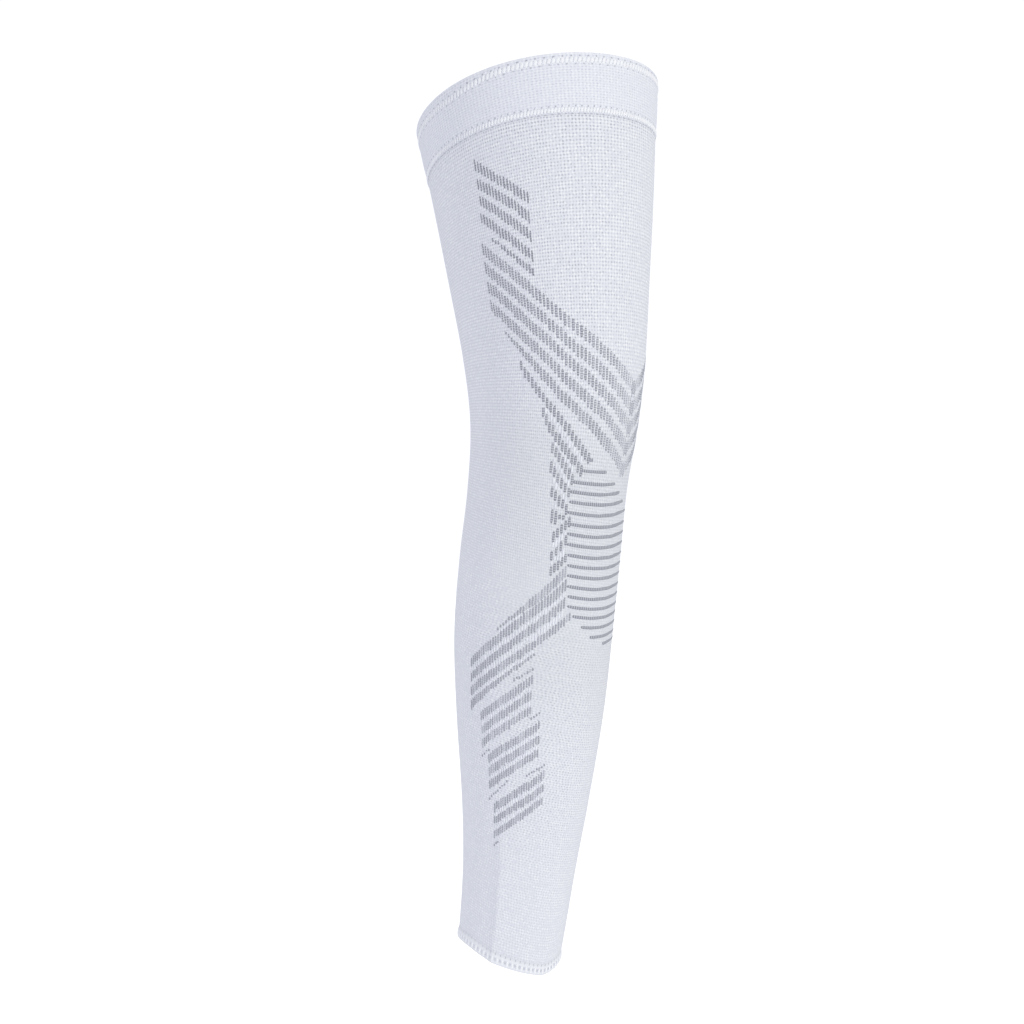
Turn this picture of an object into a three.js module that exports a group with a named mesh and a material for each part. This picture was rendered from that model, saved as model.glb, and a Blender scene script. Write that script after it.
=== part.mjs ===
// Full-leg compression sleeve: a knitted tube in the shape of a slightly bent leg,
// with a stitched band round the thigh and a rolled hem round the ankle.
// Millimetres, +Z up the leg, kneecap side towards -Y, origin at the centre of the knee.
import * as THREE from 'three';

// Driving dimensions
const FACETS_ROUND = 48;
const TOP_RIM = 343;
const BOTTOM_RIM = -305;
const WALL = 1.5;
const LAP_GAP = 0.3;
const LAP_WALL = 1.0;
const LAP_STANDS_PROUD = 0.8;
const BAND_HEIGHT = 42;
const HEM_HEIGHT = 9;
const HEM_ROLL_RADIUS = 1.25;
const HEM_ROLL_PROUD = 1.3;
const STEP_HEIGHT = 1.0;
const ROW_SPACING = 18;
const LAP_ROWS = 3;
const TINY_TURN = 0.001;

// The worn leg from ankle to thigh. front and back are its Y on the centre line and half_width
// its X. A knitted row tips up by lean degrees towards the front, and rises by side_lift at the sides.
const LEG_SECTIONS = [
  { height: -330, front: -10, back: 71, half_width: 34, lean: -20, side_lift: -2 },
  { height: -290, front: -18, back: 67, half_width: 34, lean: -20, side_lift: -2 },
  { height: -240, front: -27, back: 63, half_width: 38, lean: -16, side_lift: 0 },
  { height: -190, front: -37, back: 63, half_width: 43, lean: -16, side_lift: 0 },
  { height: -120, front: -49, back: 66, half_width: 53, lean: -16, side_lift: 0 },
  { height: -60, front: -56, back: 67, half_width: 58, lean: -15, side_lift: 0 },
  { height: 0, front: -62, back: 62, half_width: 60, lean: -14, side_lift: 0 },
  { height: 50, front: -67, back: 56, half_width: 60, lean: -11, side_lift: 0 },
  { height: 100, front: -75.5, back: 53.5, half_width: 63, lean: -5, side_lift: 0 },
  { height: 150, front: -81, back: 59, half_width: 69, lean: 1, side_lift: 0 },
  { height: 210, front: -84, back: 71, half_width: 76, lean: 6, side_lift: 1 },
  { height: 280, front: -87, back: 86, half_width: 84, lean: 11, side_lift: 3 },
  { height: 370, front: -89, back: 107, half_width: 95, lean: 13, side_lift: 7 },
];

// Below the knee the section narrows towards the shin, as an egg does.
const SHIN_TAPER = 0.13;
const SHIN_TAPER_STARTS = 140;
const SHIN_TAPER_FULL = -60;

// A soft fold runs down each side of the ankle.
const FOLD_HEIGHT = 2.2;
const FOLD_ANGLE = THREE.MathUtils.degToRad(86);
const FOLD_SPREAD = THREE.MathUtils.degToRad(16);
const FOLD_STARTS = -205;
const FOLD_FULL = -265;

// The ankle's edge is more level than the leaning rows: it rises beside the shin and drops at the heel.
const SHIN_EDGE_RISE = 7.5;
const SHIN_EDGE_MIDDLE = THREE.MathUtils.degToRad(-12);
const SHIN_EDGE_SPREAD = THREE.MathUtils.degToRad(46);
const HEEL_EDGE_DROP = 9;
const HEEL_EDGE_STARTS = THREE.MathUtils.degToRad(112);
const EDGE_LEVEL_STARTS = -230;
const EDGE_LEVEL_FULL = -297;

const KNIT_WHITE = new THREE.Color(0.9, 0.91, 0.95);
const BAND_WHITE = new THREE.Color(0.91, 0.92, 0.95);
const HEM_WHITE = new THREE.Color(0.92, 0.92, 0.96);

// Slope of one column at a row of the table, from its neighbours
function columnSlope(column, row) {
  const below = LEG_SECTIONS[Math.max(row - 1, 0)];
  const above = LEG_SECTIONS[Math.min(row + 1, LEG_SECTIONS.length - 1)];
  return (above[column] - below[column]) / (above.height - below.height);
}

// One column of the table at any height, as a smooth curve through the rows
function legValue(column, height) {
  let row = 0;
  while (row < LEG_SECTIONS.length - 2 && LEG_SECTIONS[row + 1].height < height) row += 1;
  const low = LEG_SECTIONS[row];
  const high = LEG_SECTIONS[row + 1];
  const span = high.height - low.height;
  const t = (height - low.height) / span;
  const rise = t * t * (3 - 2 * t);
  const leave = t * (1 - t) * (1 - t) * span * columnSlope(column, row);
  const arrive = t * t * (1 - t) * span * columnSlope(column, row + 1);
  return low[column] + (high[column] - low[column]) * rise + leave - arrive;
}

// Point of the leg's section, with the angle measured from the shin round towards -X
function sectionPoint(angle, height) {
  const front = legValue('front', height);
  const back = legValue('back', height);
  const roundness = THREE.MathUtils.smoothstep(height, SHIN_TAPER_FULL, SHIN_TAPER_STARTS);
  const taper = SHIN_TAPER * (1 - roundness);
  const x = -legValue('half_width', height) * Math.sin(angle) * (1 - taper * Math.cos(angle));
  const y = (front + back) / 2 - (back - front) / 2 * Math.cos(angle);
  return new THREE.Vector2(x, y);
}

// Height of the ankle fold above the plain section
function foldHeight(angle, height) {
  const strength = 1 - THREE.MathUtils.smoothstep(height, FOLD_FULL, FOLD_STARTS);
  const fromShin = Math.acos(Math.cos(angle));
  const fromFold = (fromShin - FOLD_ANGLE) / FOLD_SPREAD;
  return FOLD_HEIGHT * strength * Math.exp(-(fromFold ** 2));
}

// How far a row near the ankle's edge is moved up to make the edge more level
function edgeLevel(angle, row) {
  const strength = 1 - THREE.MathUtils.smoothstep(row, EDGE_LEVEL_FULL, EDGE_LEVEL_STARTS);
  const fromShin = Math.acos(Math.cos(angle));
  const fromRise = Math.acos(Math.cos(angle - SHIN_EDGE_MIDDLE));
  const rise = SHIN_EDGE_RISE * (1 - THREE.MathUtils.smoothstep(fromRise, 0, SHIN_EDGE_SPREAD));
  const drop = HEEL_EDGE_DROP * THREE.MathUtils.smoothstep(fromShin, HEEL_EDGE_STARTS, Math.PI);
  return strength * (rise - drop);
}

// Point of the sleeve: on one knitted row, at one angle, some way out from the leg's skin
function sleevePoint(angle, row, outward) {
  const halfDepth = (legValue('back', row) - legValue('front', row)) / 2;
  const tip = halfDepth * Math.tan(THREE.MathUtils.degToRad(legValue('lean', row))) * Math.cos(angle);
  const lift = legValue('side_lift', row) * Math.sin(angle) ** 2;
  const height = row + tip + lift + edgeLevel(angle, row);
  const here = sectionPoint(angle, height);
  const ahead = sectionPoint(angle + TINY_TURN, height);
  const along = ahead.sub(sectionPoint(angle - TINY_TURN, height)).normalize();
  const reach = outward + foldHeight(angle, height);
  return new THREE.Vector3(here.x + along.y * -reach, here.y + along.x * reach, height);
}

// A ring round the leg: a closed outline of (outward, row) points, turned and laid on the leg
function ringOnLeg(outline) {
  const turned = outline.map(([outward, row]) => new THREE.Vector2(outward + 2 * WALL, row));
  const geometry = new THREE.LatheGeometry(turned, FACETS_ROUND);
  const position = geometry.attributes.position;
  for (let index = 0; index < position.count; index += 1) {
    const angle = -Math.floor(index / outline.length) * 2 * Math.PI / FACETS_ROUND;
    const [outward, row] = outline[index % outline.length];
    const point = sleevePoint(angle, row, outward);
    position.setXYZ(index, point.x, point.y, point.z);
  }
  geometry.computeVertexNormals();
  return geometry;
}

// Evenly spaced rows from one row to another
function rowsBetween(first, last, count) {
  const rows = [];
  for (let index = 0; index <= count; index += 1) {
    rows.push(THREE.MathUtils.lerp(first, last, index / count));
  }
  return rows;
}

// Layers of the laps, out from the leg's skin
const LAP_OUTSIDE = LAP_STANDS_PROUD;
const LAP_INSIDE = LAP_STANDS_PROUD - LAP_WALL;
const TUCKED = LAP_INSIDE - LAP_GAP;
const BAND_EDGE = TOP_RIM - BAND_HEIGHT;
const HEM_EDGE = BOTTOM_RIM + HEM_HEIGHT;
const CAP = LAP_WALL + LAP_GAP;
const BODY_TOP = TOP_RIM - CAP - LAP_GAP;
const BODY_BOTTOM = BOTTOM_RIM + 2 * HEM_ROLL_RADIUS + LAP_GAP;

// The knitted tube, tucked in under the band and the hem
function sleeveBodyOutline() {
  const tuckedLow = rowsBetween(BODY_BOTTOM, HEM_EDGE, LAP_ROWS);
  const openFirst = HEM_EDGE + STEP_HEIGHT;
  const openLast = BAND_EDGE - STEP_HEIGHT;
  const open = rowsBetween(openFirst, openLast, Math.round((openLast - openFirst) / ROW_SPACING));
  const tuckedHigh = rowsBetween(BAND_EDGE, BODY_TOP, LAP_ROWS);
  const outside = [
    ...tuckedLow.map((row) => [TUCKED, row]),
    ...open.map((row) => [0, row]),
    ...tuckedHigh.map((row) => [TUCKED, row]),
  ];
  const inside = outside.map(([, row]) => [-WALL, row]).reverse();
  return [...outside, ...inside, outside[0]];
}

// The thigh band: a layer lapped over the tube, folded over its top edge
function topBandOutline() {
  const rows = rowsBetween(BAND_EDGE, TOP_RIM - CAP, LAP_ROWS);
  const middle = (LAP_OUTSIDE - WALL) / 2;
  const outside = rows.map((row) => [LAP_OUTSIDE, row]);
  const fold = [
    [(LAP_OUTSIDE + middle) / 2, TOP_RIM - CAP / 4],
    [middle, TOP_RIM],
    [(middle - WALL) / 2, TOP_RIM - CAP / 4],
    [-WALL, TOP_RIM - CAP],
  ];
  const inside = rows.map((row) => [LAP_INSIDE, row]).reverse();
  return [...outside, ...fold, ...inside, outside[0]];
}

// The ankle hem: a short layer lapped over the tube, ending in a rolled edge
function bottomHemOutline() {
  const rollTop = BOTTOM_RIM + 2 * HEM_ROLL_RADIUS;
  const rows = rowsBetween(rollTop, HEM_EDGE, LAP_ROWS);
  const rollMiddle = HEM_ROLL_PROUD - HEM_ROLL_RADIUS;
  const turns = [180, 225, 270, 315, 360];
  const roll = turns.map((degrees) => {
    const turn = THREE.MathUtils.degToRad(degrees);
    const outward = rollMiddle + HEM_ROLL_RADIUS * Math.cos(turn);
    return [outward, BOTTOM_RIM + HEM_ROLL_RADIUS * (1 + Math.sin(turn))];
  });
  const innerLip = [-WALL, rollTop];
  const outside = rows.map((row) => [LAP_OUTSIDE, row]);
  const inside = rows.map((row) => [LAP_INSIDE, row]).reverse();
  return [innerLip, ...roll, ...outside, ...inside, innerLip];
}

function piece(name, outline, color, roughness) {
  const material = new THREE.MeshStandardMaterial({ color, roughness, metalness: 0 });
  const mesh = new THREE.Mesh(ringOnLeg(outline), material);
  mesh.name = name;
  return mesh;
}

const sleeve = new THREE.Group();
sleeve.add(piece('sleeve_body', sleeveBodyOutline(), KNIT_WHITE, 0.9));
sleeve.add(piece('top_band', topBandOutline(), BAND_WHITE, 0.85));
sleeve.add(piece('bottom_hem', bottomHemOutline(), HEM_WHITE, 0.85));

export default sleeve;
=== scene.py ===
# Full-leg compression sleeve: knitted tube, stitched thigh band, rolled ankle hem, grey stripes.
# Metres, +Z up the leg, kneecap side towards -Y, origin at the centre of the knee.
import math

import bpy
import numpy as np
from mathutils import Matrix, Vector


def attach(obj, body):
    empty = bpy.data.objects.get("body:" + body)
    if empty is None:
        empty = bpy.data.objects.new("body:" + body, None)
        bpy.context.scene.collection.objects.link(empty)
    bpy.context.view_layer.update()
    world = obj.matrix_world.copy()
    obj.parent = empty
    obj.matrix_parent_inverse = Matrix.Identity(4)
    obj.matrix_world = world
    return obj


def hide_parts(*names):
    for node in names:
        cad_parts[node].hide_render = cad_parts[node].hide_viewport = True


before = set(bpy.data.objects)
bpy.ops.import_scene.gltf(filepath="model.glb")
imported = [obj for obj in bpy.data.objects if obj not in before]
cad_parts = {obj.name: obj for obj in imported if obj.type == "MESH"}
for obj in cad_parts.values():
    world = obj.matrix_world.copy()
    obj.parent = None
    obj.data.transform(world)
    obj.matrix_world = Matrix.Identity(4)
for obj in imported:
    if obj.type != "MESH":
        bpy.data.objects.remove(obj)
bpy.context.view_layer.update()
rng = np.random.default_rng(seed=20)

# Driving dimensions, in millimetres
MM = 0.001
TOP_RIM = 343.0
BOTTOM_RIM = -305.0
WALL = 1.5
LAP_GAP = 0.3
LAP_WALL = 1.0
LAP_OUTSIDE = 0.8
LAP_INSIDE = LAP_OUTSIDE - LAP_WALL
BAND_EDGE_OUTWARD = 0.1
TUCKED = LAP_INSIDE - LAP_GAP
BAND_HEIGHT = 42.0
HEM_HEIGHT = 9.0
HEM_ROLL_RADIUS = 1.25
BAND_EDGE = TOP_RIM - BAND_HEIGHT
HEM_EDGE = BOTTOM_RIM + HEM_HEIGHT
CAP = LAP_WALL + LAP_GAP
BODY_TOP = TOP_RIM - CAP - LAP_GAP
BODY_BOTTOM = BOTTOM_RIM + 2 * HEM_ROLL_RADIUS + LAP_GAP
TINY_TURN = 0.001
FULL_TURN = 2 * math.pi

# The worn leg from ankle to thigh. A row tips up by lean degrees towards the front.
LEG_COLUMNS = ("height", "front", "back", "half_width", "lean", "side_lift")
LEG_SECTIONS = [
    (-330, -10, 71, 34, -20, -2),
    (-290, -18, 67, 34, -20, -2),
    (-240, -27, 63, 38, -16, 0),
    (-190, -37, 63, 43, -16, 0),
    (-120, -49, 66, 53, -16, 0),
    (-60, -56, 67, 58, -15, 0),
    (0, -62, 62, 60, -14, 0),
    (50, -67, 56, 60, -11, 0),
    (100, -75.5, 53.5, 63, -5, 0),
    (150, -81, 59, 69, 1, 0),
    (210, -84, 71, 76, 6, 1),
    (280, -87, 86, 84, 11, 3),
    (370, -89, 107, 95, 13, 7),
]
LEG = {name: np.array(values, float) for name, values in zip(LEG_COLUMNS, zip(*LEG_SECTIONS))}

# Narrowing of the shin, folds and edge of the ankle, arch of the band's edge
SHIN_TAPER = 0.13
SHIN_TAPER_STARTS = 140.0
SHIN_TAPER_FULL = -60.0
FOLD_SIZE = 2.4
FOLD_PATH = [(-300, math.radians(88)), (-215, math.radians(88.5))]
FOLD_CREST = math.radians(0.8)
FOLD_SHIN_SPREAD = math.radians(14)
FOLD_HEEL_SPREAD = math.radians(5)
FOLD_STARTS = -170.0
FOLD_FULL = -245.0
SHIN_EDGE_RISE = 7.5
SHIN_EDGE_MIDDLE = math.radians(-12)
SHIN_EDGE_SPREAD = math.radians(46)
HEEL_EDGE_DROP = 9.0
HEEL_EDGE_STARTS = math.radians(112)
EDGE_LEVEL_STARTS = -230.0
EDGE_LEVEL_FULL = -297.0
BAND_ARCH = 3.0
ARCH_BELOW = 24.0
ARCH_ABOVE = 34.0

# The knit: stitch columns round the thigh, crowded towards its sides. Below the knee there are fewer
# stitches, each row wanders along by part of a stitch, and the facets are coarser than the stitches.
THIGH_WALES = 216
CALF_FACETS = 120
CALF_WALES = 126
SPLIT_ROW = -20.0
SIDE_CROWDING = 0.13
CROWDING_FULL = 100.0
STITCH_JITTER = 0.09
MOST_JITTER = 0.14
THIGH_PIT_DEPTH = 0.17
CALF_PIT_DEPTH = 0.04
THIGH_STAGGER = 0.1
CALF_WANDER = 2.4
ROW_DRIFT = 0.03
BAND_WALES = 208
BAND_COURSES = 22
BAND_PIT_DEPTH = 0.06
PIT_UNEVENNESS = 0.18
PIT_LIMITS = (0.4, 1.6)
BAND_STAGGER = 0.12
INSIDE_FACETS = 54
INSIDE_ROWS = 26

# Height of one knitted row, by the row it is at
ROW_SPACINGS = [
    (-296, 2.0), (-200, 1.9), (-100, 1.88), (0, 1.97), (65, 2.25),
    (130, 2.42), (205, 2.35), (265, 2.15), (305, 2.06),
]


def smoothstep(low, high, value):
    t = np.clip((value - low) / (high - low), 0, 1)
    return t * t * (3 - 2 * t)


# One column of the leg table at any height, as a smooth curve through the rows
def leg_value(column, height):
    heights = LEG["height"]
    values = LEG[column]
    last = len(heights) - 1
    below = np.maximum(np.arange(last + 1) - 1, 0)
    above = np.minimum(np.arange(last + 1) + 1, last)
    slopes = (values[above] - values[below]) / (heights[above] - heights[below])
    row = np.clip(np.searchsorted(heights, height) - 1, 0, last - 1)
    span = heights[row + 1] - heights[row]
    t = (height - heights[row]) / span
    rise = t * t * (3 - 2 * t)
    leave = t * (1 - t) * (1 - t) * span * slopes[row]
    arrive = t * t * (1 - t) * span * slopes[row + 1]
    return values[row] + (values[row + 1] - values[row]) * rise + leave - arrive


# Point of the leg's section, with the angle measured from the shin round towards -X
def section_point(angle, height):
    front = leg_value("front", height)
    back = leg_value("back", height)
    taper = SHIN_TAPER * (1 - smoothstep(SHIN_TAPER_FULL, SHIN_TAPER_STARTS, height))
    x = -leg_value("half_width", height) * np.sin(angle) * (1 - taper * np.cos(angle))
    y = (front + back) / 2 - (back - front) / 2 * np.cos(angle)
    return x, y


def from_shin(angle):
    return np.arccos(np.clip(np.cos(angle), -1, 1))


# The fold down each side of the ankle, sharper than its solid form
def fold_height(angle, height):
    strength = 1 - smoothstep(FOLD_FULL, FOLD_STARTS, height)
    from_fold = from_shin(angle) - np.interp(height, *zip(*FOLD_PATH))
    away = np.hypot(from_fold, FOLD_CREST) - FOLD_CREST
    spread = np.where(from_fold < 0, FOLD_SHIN_SPREAD, FOLD_HEEL_SPREAD)
    return FOLD_SIZE * strength * np.exp(-away / spread)


# How far a row near the ankle's edge is moved up to make the edge more level
def edge_level(angle, row):
    strength = 1 - smoothstep(EDGE_LEVEL_FULL, EDGE_LEVEL_STARTS, row)
    from_rise = from_shin(angle - SHIN_EDGE_MIDDLE)
    rise = SHIN_EDGE_RISE * (1 - smoothstep(0, SHIN_EDGE_SPREAD, from_rise))
    drop = HEEL_EDGE_DROP * smoothstep(HEEL_EDGE_STARTS, math.pi, from_shin(angle))
    return strength * (rise - drop)


# How far the rows by the band's lower edge arch up at the sides of the thigh
def band_arch(angle, row):
    below = smoothstep(BAND_EDGE - ARCH_BELOW, BAND_EDGE, row)
    above = 1 - smoothstep(BAND_EDGE, BAND_EDGE + ARCH_ABOVE, row)
    return BAND_ARCH * below * above * np.sin(angle) ** 2


# Points of the sleeve, in metres: on a knitted row, at an angle, some way out from the leg's skin
def sleeve_point(angle, row, outward):
    angle, row, outward = np.broadcast_arrays(*(np.asarray(a, float) for a in (angle, row, outward)))
    half_depth = (leg_value("back", row) - leg_value("front", row)) / 2
    tip = half_depth * np.tan(np.radians(leg_value("lean", row))) * np.cos(angle)
    lift = leg_value("side_lift", row) * np.sin(angle) ** 2
    height = row + tip + lift + edge_level(angle, row) + band_arch(angle, row)
    x, y = section_point(angle, height)
    ahead_x, ahead_y = section_point(angle + TINY_TURN, height)
    behind_x, behind_y = section_point(angle - TINY_TURN, height)
    along = np.stack([ahead_x - behind_x, ahead_y - behind_y], -1)
    along /= np.linalg.norm(along, axis=-1, keepdims=True)
    reach = outward + fold_height(angle, height)
    points = np.stack([x - along[..., 1] * reach, y + along[..., 0] * reach, height], -1)
    return points * MM


# Stitch columns turned round the leg, crowded towards the sides of the thigh
def knit_angle(turn, row):
    crowding = SIDE_CROWDING * smoothstep(SPLIT_ROW, CROWDING_FULL, row)
    return turn + crowding * np.sin(2 * turn)


def even_angle(turn, row):
    return turn


# Places from first to last, spaced as a table of places and spacings says
def spaced(first, last, places, spacings):
    marks = [first]
    spacing = np.interp(first, places, spacings)
    while len(marks) < 2 or marks[-1] + spacing / 2 < last:
        marks.append(marks[-1] + spacing)
        spacing = np.interp(marks[-1], places, spacings)
    return first + (np.array(marks) - first) * (last - first) / (marks[-1] - first)


KNIT_ROWS = spaced(HEM_EDGE, BAND_EDGE, *zip(*ROW_SPACINGS))
SPLIT_COURSE = int(np.argmin(np.abs(KNIT_ROWS - SPLIT_ROW)))


# How open the stitches look, and with it how much painted shade their pinholes get, from 0 to 1. A range is
# where a change starts and ends, in rows or degrees.
PLAIN_OPEN = 0.3
BESIDE_OPENS = 0.26
THIGH_OPENS = 0.14
UNDER_BAND_OPENS = 0.2
BAND_OPEN = 0.45
FRONT_SHARE = 0.3
ANKLE_SHARE = 0.4
KNEE_CLOSES = 0.6
HEEL_CLOSES = 0.2
KNEE_SPREAD = 25
THIGH_RANGE = (20, 200)
UNDER_BAND_RANGE = (BAND_EDGE - 14, BAND_EDGE - 1)
ANKLE_RANGE = (-270, -150)
FRONT_DEGREES = (0, 45)
SIDE_DEGREES = (75, 125)
HEEL_DEGREES = (75, 105)


# Most open on the thigh beside its front, least round the back and at the knee; the painted shade in the
# pinholes follows this and is weakest round the back
def openness_and_pit_shade(angle, row):
    degrees = np.degrees(from_shin(angle))
    off_front = FRONT_SHARE + (1 - FRONT_SHARE) * smoothstep(*FRONT_DEGREES, degrees)
    beside = (1 - smoothstep(*SIDE_DEGREES, degrees)) * off_front
    thigh = smoothstep(*THIGH_RANGE, row)
    under_band = smoothstep(*UNDER_BAND_RANGE, row)
    knee = 1 - KNEE_CLOSES * np.exp(-(((row - SPLIT_ROW) / KNEE_SPREAD) ** 2))
    heel = 1 - HEEL_CLOSES * (1 - thigh) * smoothstep(*HEEL_DEGREES, degrees)
    ankle = ANKLE_SHARE + (1 - ANKLE_SHARE) * smoothstep(*ANKLE_RANGE, row)
    opened = PLAIN_OPEN + beside * (BESIDE_OPENS + THIGH_OPENS * thigh) + UNDER_BAND_OPENS * under_band
    return knee * heel * ankle * opened


# The same strength of painted shade in the pinholes all over the band
def band_openness_and_pit_shade(angle, row):
    return BAND_OPEN


def add_object(name, data):
    made = bpy.data.objects.new(name, data)
    bpy.context.scene.collection.objects.link(made)
    return made


# Collects points and faces, with two UV places for each face corner
class Shape:
    def __init__(self):
        self.points = []
        self.count = 0
        self.corners = []
        self.sizes = []
        self.chart = []
        self.bake = []
        self.tone = []

    def add_points(self, points, tone=1.0):
        flat = points.reshape(-1, 3)
        index = np.arange(self.count, self.count + len(flat)).reshape(points.shape[:-1])
        self.points.append(flat)
        self.tone.append(np.broadcast_to(tone, points.shape[:-1]).reshape(-1))
        self.count += len(flat)
        return index

    def add_faces(self, corners, chart, bake):
        self.corners.append(corners.reshape(-1))
        self.sizes.append(np.full(len(corners), corners.shape[1]))
        self.chart.append(chart.reshape(-1, 2))
        self.bake.append(bake.reshape(-1, 2))

    def make(self, name, material, slot, body="root"):
        points = np.concatenate(self.points)
        corners = np.concatenate(self.corners)
        sizes = np.concatenate(self.sizes)
        mesh = bpy.data.meshes.new(name)
        mesh.vertices.add(len(points))
        mesh.vertices.foreach_set("co", points.reshape(-1))
        mesh.loops.add(len(corners))
        mesh.loops.foreach_set("vertex_index", corners.astype(np.int32))
        mesh.polygons.add(len(sizes))
        mesh.polygons.foreach_set("loop_start", (np.cumsum(sizes) - sizes).astype(np.int32))
        for uv_name, places in (("chart", self.chart), ("OFBake", self.bake)):
            layer = mesh.uv_layers.new(name=uv_name)
            layer.data.foreach_set("uv", np.concatenate(places).astype(np.float32).reshape(-1))
        tone = mesh.attributes.new("tone", "FLOAT", "POINT")
        tone.data.foreach_set("value", np.concatenate(self.tone).astype(np.float32))
        mesh.update(calc_edges=True)
        mesh.validate()
        mesh.polygons.foreach_set("use_smooth", np.ones(len(mesh.polygons), bool))
        mesh.materials.append(material)
        piece = add_object(name, mesh)
        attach(piece, body)
        return piece


# Corner places in one belt of the bake map, from its low edge to its high one
def bake_place(across, up, belt):
    low, high = belt
    return np.stack([across, low + (high - low) * up], -1)


# A knitted layer: every stitch is a small dimple, four faces round its pinhole
def knit_layer(shape, rows, wales, angle_at, outward, depth, stagger, tone_at, first_course, belt):
    count = len(rows) - 1
    columns = np.arange(wales)
    gap = np.gradient(rows)[:, None]
    drift = np.clip(rng.normal(0, STITCH_JITTER, (2, count + 1, wales)), -MOST_JITTER, MOST_JITTER)
    drift[:, [0, -1]] = 0
    at_row = rows[:, None] + gap * drift[1]
    row_shift = stagger / 2 * (-1.0) ** np.arange(count + 1) + rng.normal(0, ROW_DRIFT, count + 1)
    row_shift[[0, -1]] = 0
    angle = angle_at(FULL_TURN * (columns + drift[0] + row_shift[:, None]) / wales, at_row)
    outward = np.broadcast_to(outward, rows.shape)[:, None]
    high = shape.add_points(sleeve_point(angle, at_row, outward), tone_at(angle, at_row))
    drift = np.clip(rng.normal(0, STITCH_JITTER, (2, count, wales)), -MOST_JITTER, MOST_JITTER)
    pit_row = (rows[:-1, None] + rows[1:, None]) / 2 + gap[:-1] * drift[1]
    row_shift = stagger * (-1.0) ** np.arange(count) + rng.normal(0, ROW_DRIFT, count)
    pit_column = columns + 0.5 + drift[0] + row_shift[:, None]
    angle = angle_at(FULL_TURN * pit_column / wales, pit_row)
    deeper = np.clip(rng.normal(1, PIT_UNEVENNESS, pit_row.shape), *PIT_LIMITS)
    low = (outward[:-1] + outward[1:]) / 2 - depth * deeper
    pit = shape.add_points(sleeve_point(angle, pit_row, low), tone_at(angle, pit_row))
    column, course = np.meshgrid(columns, np.arange(count))
    next_column = (column + 1) % wales
    around = [(0, 0), (1, 0), (1, 1), (0, 1)]
    index = [high[course + dv, np.where(du, next_column, column)] for du, dv in around]
    place = [np.stack([column + du, course + dv], -1) for du, dv in around]
    middle = np.stack([column + 0.5, course + 0.5], -1)
    for first in range(4):
        second = (first + 1) % 4
        corners = np.stack([index[second], index[first], pit], -1).reshape(-1, 3)
        places = np.stack([place[second], place[first], middle], -2).reshape(-1, 3, 2)
        chart = places + np.array([0, first_course])
        bake = bake_place(places[..., 0] / wales, places[..., 1] / count, belt)
        shape.add_faces(corners, chart, bake)
    return high[0], high[-1]


def ring(shape, facets, angle_at, row, outward, tone=1.0):
    angle = angle_at(FULL_TURN * np.arange(facets) / facets, row)
    return shape.add_points(sleeve_point(angle, row, outward), tone)


# Faces between two rings, zipped together where one has more points than the other.
# The first ring is the lower one where the faces look out from the leg.
def bridge(shape, low, high, low_course, high_course, belt, wales):
    if len(low) == len(high):
        step = np.arange(len(low))
        following = (step + 1) % len(low)
        corners = np.stack([low[following], low[step], high[step], high[following]], -1)
        across = np.stack([step + 1, step, step, step + 1], -1) / len(low)
        up = np.broadcast_to([0, 0, 1, 1], across.shape)
    else:
        corners, across, up = zip_rings(low, high)
    course = low_course + (high_course - low_course) * up
    shape.add_faces(corners, np.stack([across * wales, course], -1), bake_place(across, up, belt))


# Triangles between two rings: each step goes on along the ring that is behind
def zip_rings(low, high):
    corners, across, up = [], [], []
    below, above = 0, 0
    while below < len(low) or above < len(high):
        low_turn = (below + 0.5) / len(low)
        high_turn = (above + 0.5) / len(high)
        if low_turn <= high_turn:
            steps = [(low, below + 1, 0), (low, below, 0), (high, above, 1)]
            below += 1
        else:
            steps = [(low, below, 0), (high, above, 1), (high, above + 1, 1)]
            above += 1
        corners.append([points[number % len(points)] for points, number, _ in steps])
        across.append([number / len(points) for points, number, _ in steps])
        up.append([level for _, _, level in steps])
    return np.array(corners), np.array(across), np.array(up)


BAKE_MARGIN = 0.1


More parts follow.
